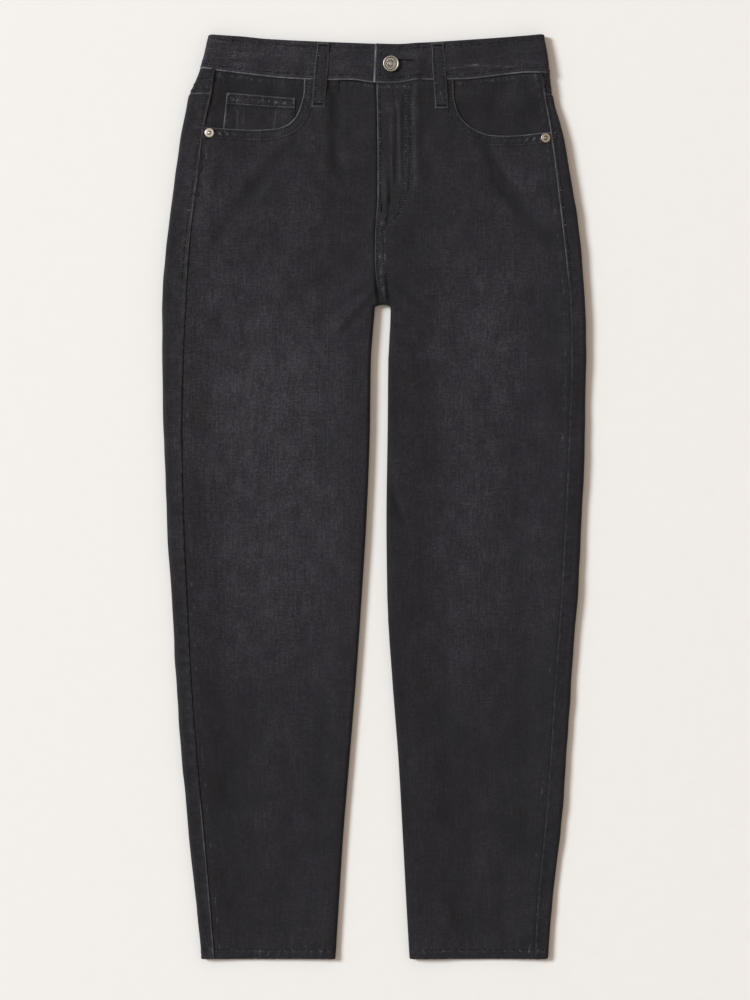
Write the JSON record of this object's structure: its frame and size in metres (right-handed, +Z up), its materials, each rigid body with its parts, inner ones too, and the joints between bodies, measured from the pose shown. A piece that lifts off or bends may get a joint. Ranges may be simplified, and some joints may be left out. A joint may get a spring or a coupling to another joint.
{
  "type": "tapered jeans",
  "caption": "Tapered denim jeans laid flat with the front up: high waist with belt loops, fly with a shank button, slanting rounded front pockets, coin pocket, yoke and back pockets.",
  "frame": {"origin": "middle of the laid-out garment, on the surface it lies on", "axes": "+X towards the wearer's left leg, +Y towards the waist, +Z up out of the front; the underside is at z = 0"},
  "size_m": [0.4627, 1.0069, 0.0138],
  "materials": {
    "denim": "washed black twill, matt, a little lighter down the middle of the legs and worn pale along the seams",
    "zip_tape": "black woven tape, hidden under the fly",
    "button_metal": "antique nickel with darker hollows",
    "rivet_nickel": "bright nickel, brassy in the middle",
    "rivet_brass": "antique brass, dark in the hollow"
  },
  "bodies": {
    "root": {"front_right": "denim", "front_left": "denim", "back_right": "denim", "back_left": "denim", "yoke_right": "denim", "yoke_left": "denim", "waistband": "denim", "pocket_right": "denim", "pocket_left": "denim", "coin_pocket": "denim", "back_pocket_right": "denim", "back_pocket_left": "denim", "belt_loop_front_right": "denim", "belt_loop_front_left": "denim", "belt_loop_back_right": "denim", "belt_loop_back_centre": "denim", "belt_loop_back_left": "denim", "fly_zip": "zip_tape", "waist_button": "button_metal", "rivet_right": "rivet_nickel", "rivet_left": "rivet_brass"}
  },
  "joints": []
}
